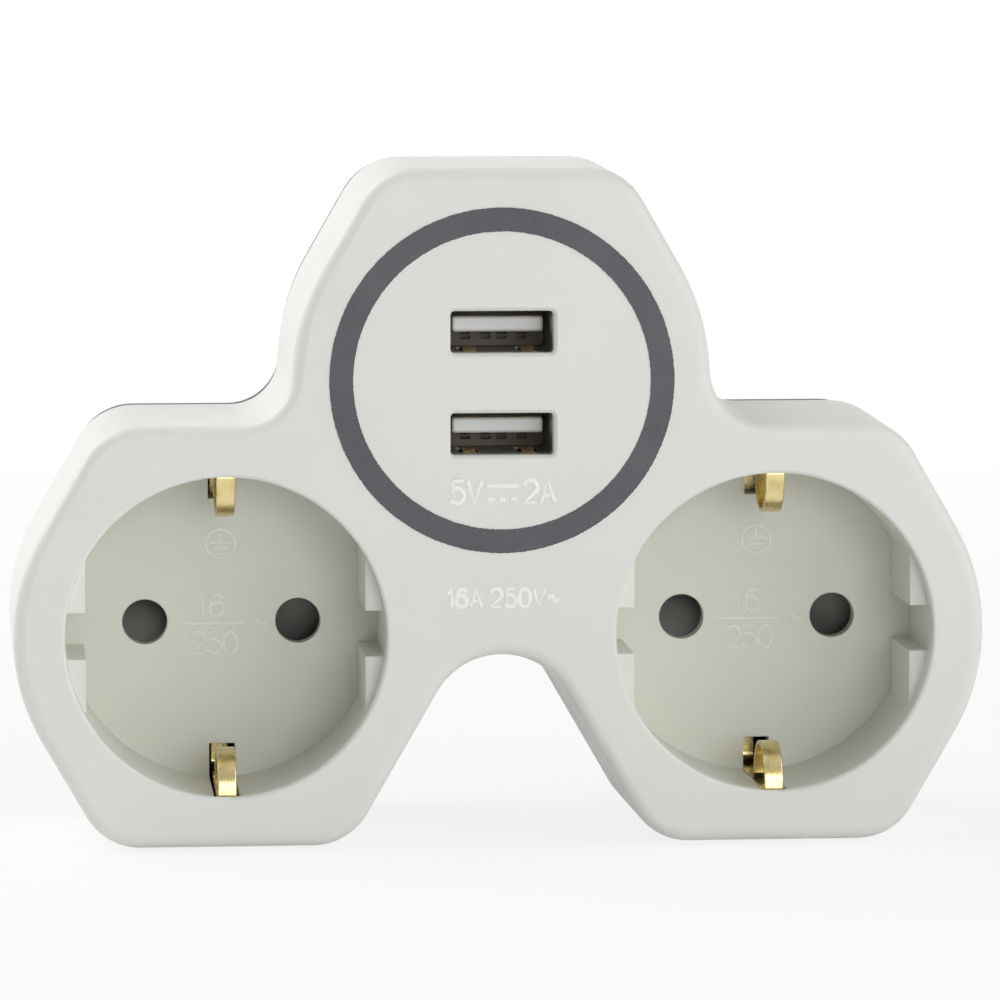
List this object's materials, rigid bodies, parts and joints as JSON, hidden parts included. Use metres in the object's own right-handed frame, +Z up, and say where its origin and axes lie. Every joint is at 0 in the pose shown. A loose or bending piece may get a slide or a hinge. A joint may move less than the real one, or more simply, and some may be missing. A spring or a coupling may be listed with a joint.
{
  "type": "plug adapter",
  "caption": "Mains adapter of joined hexagonal lobes with earthed socket wells, shutters behind the pin holes, charging ports in a printed ring and a plug on the back.",
  "frame": {"origin": "midway between the plug pins, on the plug's pin face", "axes": "+X right seen from the front, +Y along the plug pins into the wall, +Z up"},
  "size_m": [0.1194, 0.0761, 0.0834],
  "materials": {
    "pale_plastic": "satin moulded, light grey-white",
    "dark_plastic": "fine spark texture, dark grey",
    "ring_ink": "screen-printed dark grey",
    "shutter_plastic": "moulded charcoal",
    "carrier_plastic": "moulded natural",
    "brass": "stamped",
    "nickel_pin": "nickel plated",
    "spring_steel": "bright strip",
    "port_steel": "plated sheet",
    "screw_steel": "zinc plated",
    "tongue_plastic": "moulded white",
    "base_plastic": "moulded dark",
    "contact_gold": "gold flashed",
    "board": "glass laminate with lacquer",
    "ferrite": "sintered, matt",
    "winding_tape": "yellow tape",
    "can_sleeve": "shrunk sleeve",
    "component": "moulded epoxy",
    "disc_coat": "dipped coat",
    "fuse_coat": "lacquered",
    "live_wire": "brown insulation",
    "neutral_wire": "blue insulation"
  },
  "bodies": {
    "housing": {"front_cover": "pale_plastic", "rear_cover": "dark_plastic", "plug_body": "dark_plastic", "printed_ring": "ring_ink", "cover_screws": "screw_steel", "left_plug_pin": "nickel_pin", "right_plug_pin": "nickel_pin", "plug_earth_strap": "nickel_pin", "live_bar": "brass", "neutral_bar": "brass", "earth_bar": "brass", "usb_board": "board", "transformer_core": "ferrite", "transformer_winding": "winding_tape", "input_capacitors": "can_sleeve", "output_capacitors": "can_sleeve", "rectifier": "component", "control_chip": "component", "noise_capacitor": "disc_coat", "fuse_resistor": "fuse_coat", "live_lead": "live_wire", "neutral_lead": "neutral_wire", "left_shutter_retainer": "carrier_plastic", "left_shutter_spring": "spring_steel", "left_earth_clip": "brass", "right_shutter_retainer": "carrier_plastic", "right_shutter_spring": "spring_steel", "right_earth_clip": "brass", "upper_port_shell": "port_steel", "upper_port_base": "base_plastic", "upper_port_tongue": "tongue_plastic", "upper_port_contacts": "contact_gold", "lower_port_shell": "port_steel", "lower_port_base": "base_plastic", "lower_port_tongue": "tongue_plastic", "lower_port_contacts": "contact_gold"},
    "left_shutter": {"left_shutter": "shutter_plastic"},
    "right_shutter": {"right_shutter": "shutter_plastic"}
  },
  "joints": [
    {"name": "left_shutter_turn", "type": "hinge", "parent": "housing", "child": "left_shutter", "pos_m": [-0.0335, -0.0335, -0.031], "axis": [0, -1, 0], "range_deg": [0, 36], "stiffness_Nm_per_rad": 0.004, "deforming": ["left_shutter_spring"]},
    {"name": "right_shutter_turn", "type": "hinge", "parent": "housing", "child": "right_shutter", "pos_m": [0.0335, -0.0335, -0.031], "axis": [0, -1, 0], "range_deg": [0, 36], "stiffness_Nm_per_rad": 0.004, "deforming": ["right_shutter_spring"]}
  ]
}
